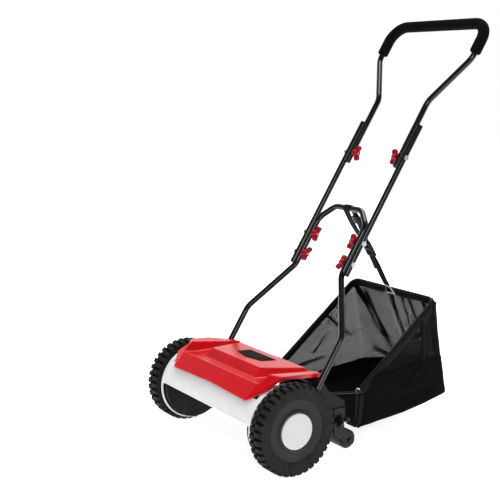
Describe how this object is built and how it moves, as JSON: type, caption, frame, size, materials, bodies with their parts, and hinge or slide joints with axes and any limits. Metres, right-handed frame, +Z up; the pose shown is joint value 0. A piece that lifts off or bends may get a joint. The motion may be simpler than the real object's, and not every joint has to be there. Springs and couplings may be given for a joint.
{
  "type": "reel mower",
  "caption": "Push reel mower with lugged drive wheels, helical blade reel, moulded cover, rear roller, folding tube handle and a hung grass bag.",
  "frame": {"origin": "on the ground, at the bottom centre of the whole mower's box", "axes": "+X to the operator's left, -Y the way the mower is pushed, +Z up"},
  "size_m": [0.536, 0.799, 1.0783],
  "materials": {
    "white": "satin, slightly warm white moulding",
    "red_cover": "glossy moulded red",
    "badge": "fine-textured black plate",
    "plate": "matt black moulding",
    "tyre": "charcoal rubber",
    "wheel": "charcoal moulded wheel centre",
    "cap": "light grey hub cap",
    "tube": "gloss black powder coat on steel tube",
    "black_steel": "satin black steel",
    "zinc": "bright zinc plate",
    "blade": "ground and lightly oiled steel",
    "gear": "dark moulded gear",
    "foam": "matt black foam",
    "knob": "moulded red",
    "black_knob": "moulded black",
    "roller": "black plastic roller",
    "fabric": "coated black polyester",
    "mesh": "open dark grey mesh",
    "webbing": "black webbing"
  },
  "bodies": {
    "chassis": {"side_plate_left": "plate", "side_plate_right": "plate", "front_guard": "white", "deck_cover": "red_cover", "badge": "badge", "cover_screws": "zinc", "front_tie_bar": "black_steel", "rear_tie_bar": "black_steel", "axle_studs": "zinc", "axle_circlips": "zinc", "reel_bearings": "zinc", "height_bolts": "zinc", "bag_hangers": "black_steel", "handle_bracket_left": "black_steel", "handle_bracket_right": "black_steel", "foot_bolts": "zinc", "lower_handle": "tube", "middle_tube_left": "tube", "middle_tube_right": "tube", "tube_plugs": "plate", "handle_bolts": "zinc", "strap": "webbing", "strap_slides": "plate"},
    "wheel_left": {"tyre_left": "tyre", "wheel_disc_left": "wheel", "hub_cap_left": "cap"},
    "wheel_right": {"tyre_right": "tyre", "wheel_disc_right": "wheel", "hub_cap_right": "cap"},
    "reel": {"reel_shaft": "blade", "reel_spiders": "black_steel", "reel_blades": "blade", "pinion_left": "gear", "pinion_right": "gear", "drive_pawls": "zinc"},
    "bed": {"bed_bar": "black_steel", "bedknife": "blade", "bedknife_screws": "zinc"},
    "adjuster_left": {"bed_adjuster_left": "zinc"},
    "adjuster_right": {"bed_adjuster_right": "zinc"},
    "roller_carriage": {"roller_bracket_left": "black_steel", "roller_bracket_right": "black_steel", "roller_shaft": "black_steel"},
    "roller": {"roller_tube": "roller", "roller_caps": "roller"},
    "height_knob_left": {"height_knob_left": "black_knob"},
    "height_knob_right": {"height_knob_right": "black_knob"},
    "upper_handle": {"upper_handle": "tube", "grip": "foam"},
    "bag": {"bag_fabric": "fabric", "bag_mesh": "mesh", "bag_frame": "black_steel", "bag_hooks": "zinc", "strap_ring": "zinc"},
    "knob_low_left": {"knob_low_left": "knob"},
    "knob_low_right": {"knob_low_right": "knob"},
    "knob_mid_left": {"knob_mid_left": "knob"},
    "knob_mid_right": {"knob_mid_right": "knob"},
    "knob_top_left": {"knob_top_left": "knob"},
    "knob_top_right": {"knob_top_right": "knob"}
  },
  "joints": [
    {"name": "reel_spin", "type": "hinge", "parent": "chassis", "child": "reel", "pos_m": [0, -0.23782, 0.104], "axis": [1, 0, 0], "continuous": true},
    {"name": "wheel_left_spin", "type": "hinge", "parent": "chassis", "child": "wheel_left", "pos_m": [0.248, -0.28948, 0.11], "axis": [1, 0, 0], "continuous": true},
    {"name": "wheel_right_spin", "type": "hinge", "parent": "chassis", "child": "wheel_right", "pos_m": [-0.248, -0.28948, 0.11], "axis": [1, 0, 0], "continuous": true},
    {"name": "bed_tilt", "type": "hinge", "parent": "chassis", "child": "bed", "pos_m": [0, -0.19457, 0.0361], "axis": [1, 0, 0], "range_deg": [0, 1]},
    {"name": "adjuster_left_turn", "type": "hinge", "parent": "chassis", "child": "adjuster_left", "pos_m": [0.18, -0.16957, 0.062], "axis": [0, 0, 1], "range_deg": [0, 150]},
    {"name": "adjuster_right_turn", "type": "hinge", "parent": "chassis", "child": "adjuster_right", "pos_m": [-0.18, -0.16957, 0.062], "axis": [0, 0, 1], "range_deg": [0, 150]},
    {"name": "cut_height", "type": "slide", "parent": "chassis", "child": "roller_carriage", "axis": [0, 0, 1], "range_m": [-0.01, 0.015]},
    {"name": "roller_spin", "type": "hinge", "parent": "roller_carriage", "child": "roller", "pos_m": [0, -0.07448, 0.024], "axis": [1, 0, 0], "continuous": true},
    {"name": "height_knob_left_turn", "type": "hinge", "parent": "chassis", "child": "height_knob_left", "pos_m": [0.21, -0.11148, 0.083], "axis": [1, 0, 0], "range_deg": [-360, 360]},
    {"name": "height_knob_right_turn", "type": "hinge", "parent": "chassis", "child": "height_knob_right", "pos_m": [-0.21, -0.11148, 0.083], "axis": [1, 0, 0], "range_deg": [-360, 360]},
    {"name": "knob_low_left_turn", "type": "hinge", "parent": "chassis", "child": "knob_low_left", "pos_m": [0.08, -0.01148, 0.4536], "axis": [1, 0, 0], "range_deg": [-360, 360]},
    {"name": "knob_low_right_turn", "type": "hinge", "parent": "chassis", "child": "knob_low_right", "pos_m": [-0.08, -0.01148, 0.4536], "axis": [1, 0, 0], "range_deg": [-360, 360]},
    {"name": "knob_mid_left_turn", "type": "hinge", "parent": "chassis", "child": "knob_mid_left", "pos_m": [0.08, 0.02175, 0.50476], "axis": [1, 0, 0], "range_deg": [-360, 360]},
    {"name": "knob_mid_right_turn", "type": "hinge", "parent": "chassis", "child": "knob_mid_right", "pos_m": [-0.08, 0.02175, 0.50476], "axis": [1, 0, 0], "range_deg": [-360, 360]},
    {"name": "knob_top_left_turn", "type": "hinge", "parent": "chassis", "child": "knob_top_left", "pos_m": [0.08, 0.15954, 0.71694], "axis": [1, 0, 0], "range_deg": [-360, 360]},
    {"name": "knob_top_right_turn", "type": "hinge", "parent": "chassis", "child": "knob_top_right", "pos_m": [-0.08, 0.15954, 0.71694], "axis": [1, 0, 0], "range_deg": [-360, 360]},
    {"name": "handle_fold", "type": "hinge", "parent": "chassis", "child": "upper_handle", "pos_m": [0, 0.15954, 0.71694], "axis": [1, 0, 0], "range_deg": [0, 150]},
    {"name": "bag_tip", "type": "hinge", "parent": "chassis", "child": "bag", "pos_m": [0, -0.03148, 0.14], "axis": [1, 0, 0], "range_deg": [0, 22], "deforming": ["strap"]}
  ],
  "couplings": [
    {"joint": "wheel_left_spin", "follows": "reel_spin", "ratio": 0.21212},
    {"joint": "wheel_right_spin", "follows": "reel_spin", "ratio": 0.21212},
    {"joint": "adjuster_left_turn", "follows": "bed_tilt", "ratio": 150},
    {"joint": "adjuster_right_turn", "follows": "bed_tilt", "ratio": 150}
  ]
}
